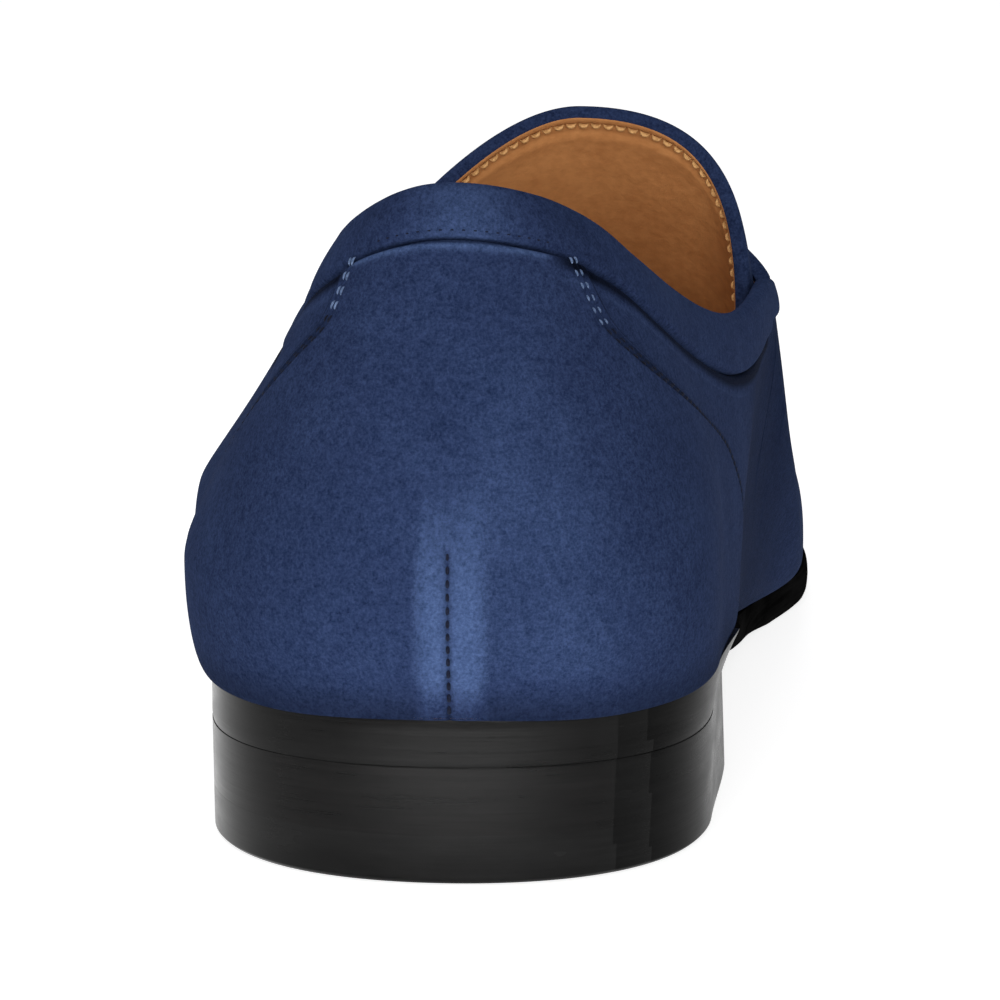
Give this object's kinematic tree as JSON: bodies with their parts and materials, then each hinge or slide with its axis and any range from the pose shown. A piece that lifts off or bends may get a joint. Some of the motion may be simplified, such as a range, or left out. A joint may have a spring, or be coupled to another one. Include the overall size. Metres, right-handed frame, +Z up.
{
  "type": "bit loafer",
  "caption": "Suede slip-on dress shoe with a low stacked heel, a leather lining and a metal bit laid on a strap over the vamp.",
  "frame": {"origin": "on the floor, in the middle of the heel's resting face", "axes": "+Y to the toe, +X to the medial side, +Z up"},
  "size_m": [0.0955, 0.2946, 0.0911],
  "materials": {
    "suede": "matte",
    "lining": "satin",
    "sole_edge": "satin",
    "heel_stack": "gloss",
    "top_lift": "satin",
    "bit_metal": "polished"
  },
  "bodies": {
    "root": {"outsole": "sole_edge", "heel_block": "heel_stack", "top_lift": "top_lift", "insole": "lining", "upper": "suede", "collar_band": "suede", "tongue": "suede", "apron": "suede", "apron_seam": "suede", "saddle_strap": "suede", "bit": "bit_metal", "keeper_medial": "suede", "keeper_lateral": "suede"}
  },
  "joints": []
}
